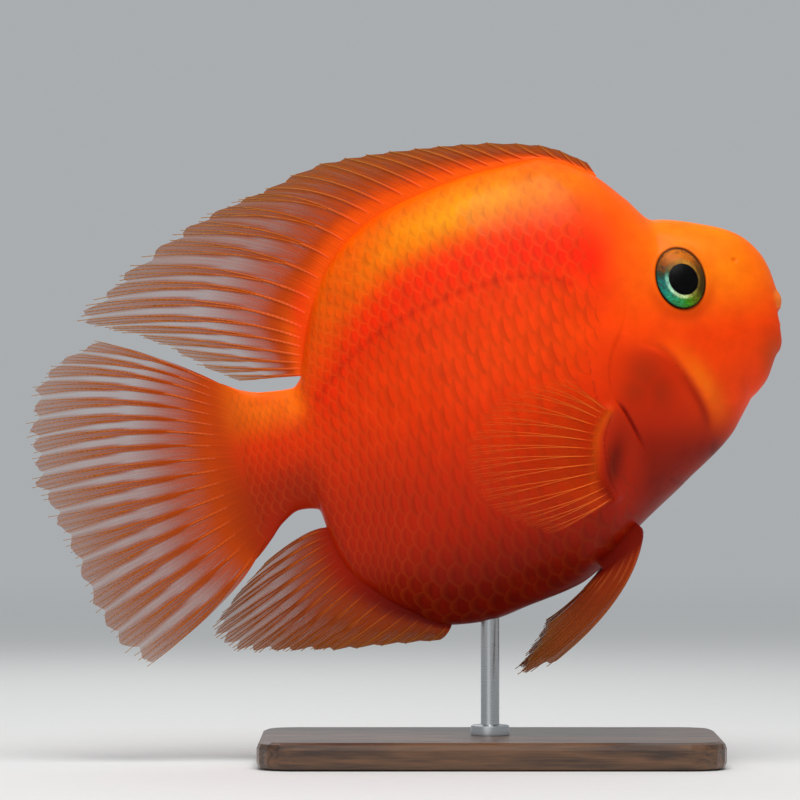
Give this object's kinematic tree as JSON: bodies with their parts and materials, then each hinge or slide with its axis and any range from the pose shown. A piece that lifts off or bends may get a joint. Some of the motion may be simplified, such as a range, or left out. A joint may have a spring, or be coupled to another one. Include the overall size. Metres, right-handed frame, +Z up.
{
  "type": "blood parrot cichlid",
  "caption": "Still, life-size display model of a blood parrot cichlid: deep rounded body, small beak-like mouth and trailing ray fins, held nose up on one rod over a flat base.",
  "frame": {"origin": "middle of the underside of the stand's base", "axes": "+X toward the fish's head, +Y toward its left side, +Z up; the fish itself is pitched 12 degrees nose up"},
  "size_m": [0.1642, 0.06, 0.1343],
  "materials": {
    "body_skin": "semi-gloss, scaled, orange shading to red",
    "fin_membrane": "satin, translucent amber with paler rays",
    "eye": "polished, black pupil in a teal and gold iris",
    "base_wood": "satin varnish",
    "rod_steel": "brushed"
  },
  "bodies": {
    "root": {"head": "body_skin", "gill_cover_right": "body_skin", "gill_cover_left": "body_skin", "trunk": "body_skin", "tail_stem": "body_skin", "eye_right": "eye", "eye_left": "eye", "dorsal_fin_spiny": "fin_membrane", "dorsal_fin_soft": "fin_membrane", "caudal_fin": "fin_membrane", "anal_fin": "fin_membrane", "pectoral_fin_right": "fin_membrane", "pectoral_fin_left": "fin_membrane", "pelvic_fin_right": "fin_membrane", "pelvic_fin_left": "fin_membrane", "stand_base": "base_wood", "stand_rod": "rod_steel"}
  },
  "joints": []
}
